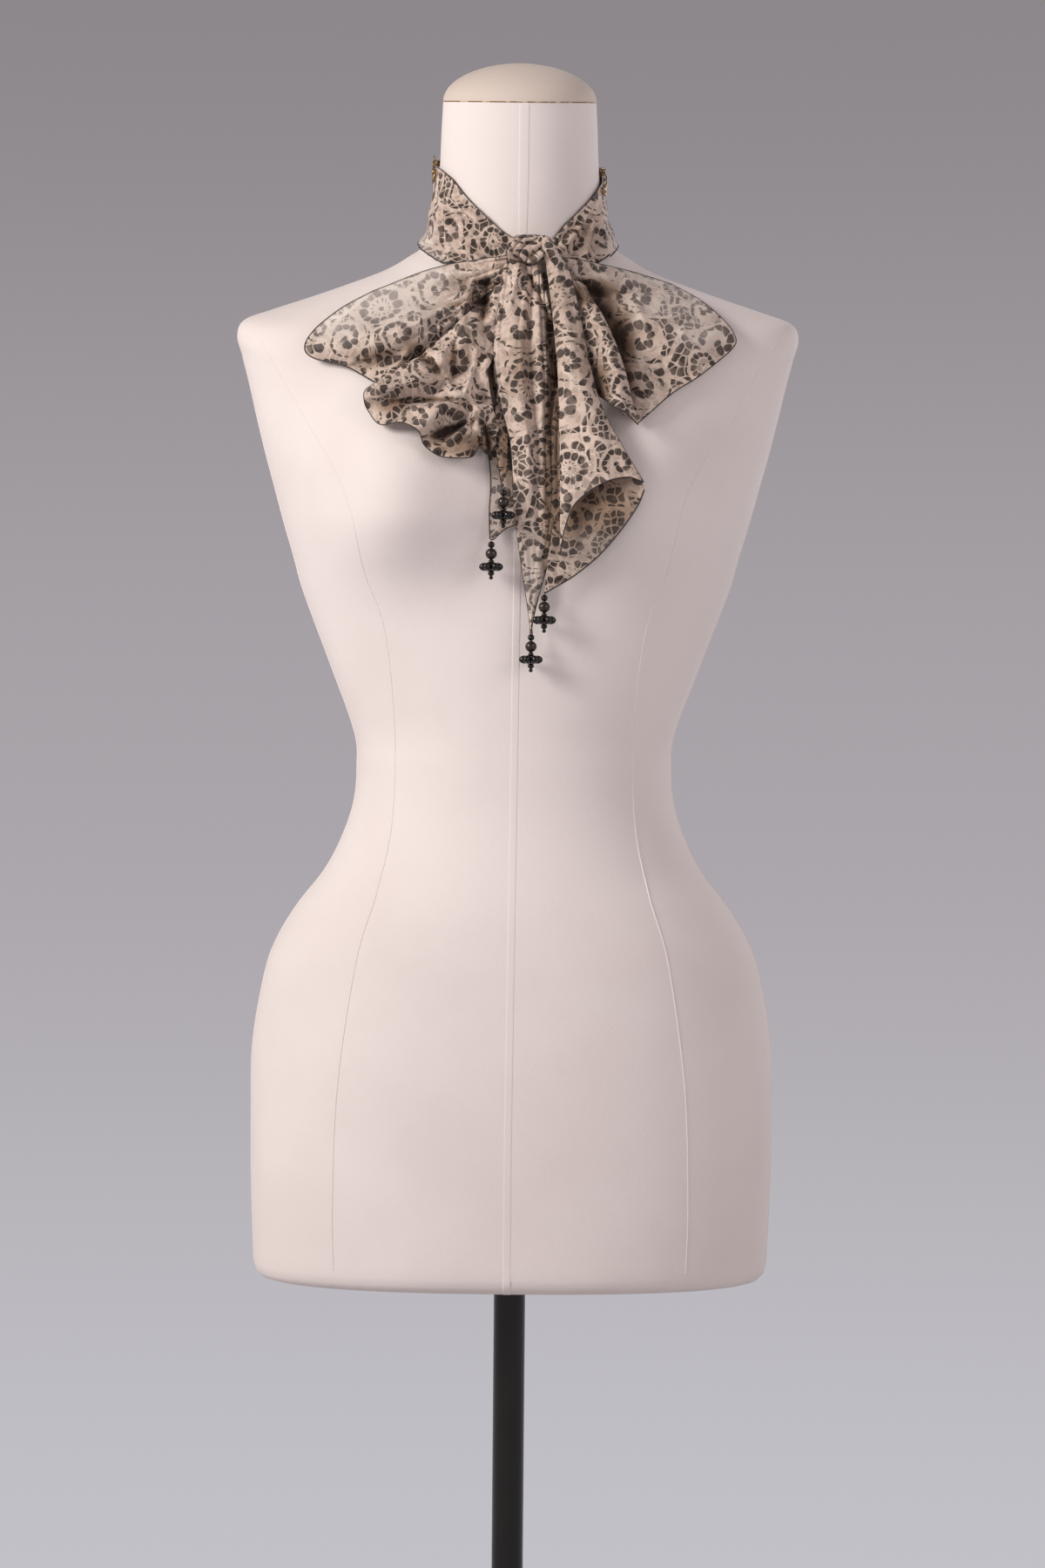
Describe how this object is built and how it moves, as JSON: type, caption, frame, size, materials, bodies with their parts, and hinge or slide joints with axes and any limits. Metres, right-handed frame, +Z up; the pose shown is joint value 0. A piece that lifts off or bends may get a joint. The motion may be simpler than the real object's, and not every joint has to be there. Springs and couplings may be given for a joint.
{
  "type": "bow-tied cravat with bead droppers on a limbless dress form and stand",
  "caption": "Printed chiffon cravat tied in a bow with long bead-tipped tails, on a limbless dress form with a pole and a round base.",
  "frame": {"origin": "centre of the underside of the stand's round base", "axes": "+Z up along the pole, the front of the dress form faces -Y, +X to the viewer's right"},
  "size_m": [0.41, 0.41, 1.5017],
  "materials": {
    "form_knit": "warm white matt knit, pulled smooth",
    "cap_knit": "cream matt knit",
    "stand_black": "smooth glossy black paint",
    "chiffon_print": "sheer cream-beige chiffon with a dark brown lace-like print",
    "bead_black": "polished black beads",
    "gilt": "aged gilt chain"
  },
  "bodies": {
    "root": {"form_body": "form_knit", "neck_cap": "cap_knit", "pole": "stand_black", "base_plate": "stand_black", "pole_boss": "stand_black", "neck_band": "chiffon_print", "knot": "chiffon_print", "left_wing": "chiffon_print", "left_ruffle": "chiffon_print", "right_wing": "chiffon_print", "right_roll": "chiffon_print", "centre_tail": "chiffon_print", "right_tail": "chiffon_print", "right_tail_fold": "chiffon_print", "left_tail": "chiffon_print", "short_tail": "chiffon_print", "dropper_short": "bead_black", "dropper_left": "bead_black", "dropper_right": "bead_black", "dropper_centre": "bead_black", "chain": "gilt"}
  },
  "joints": []
}
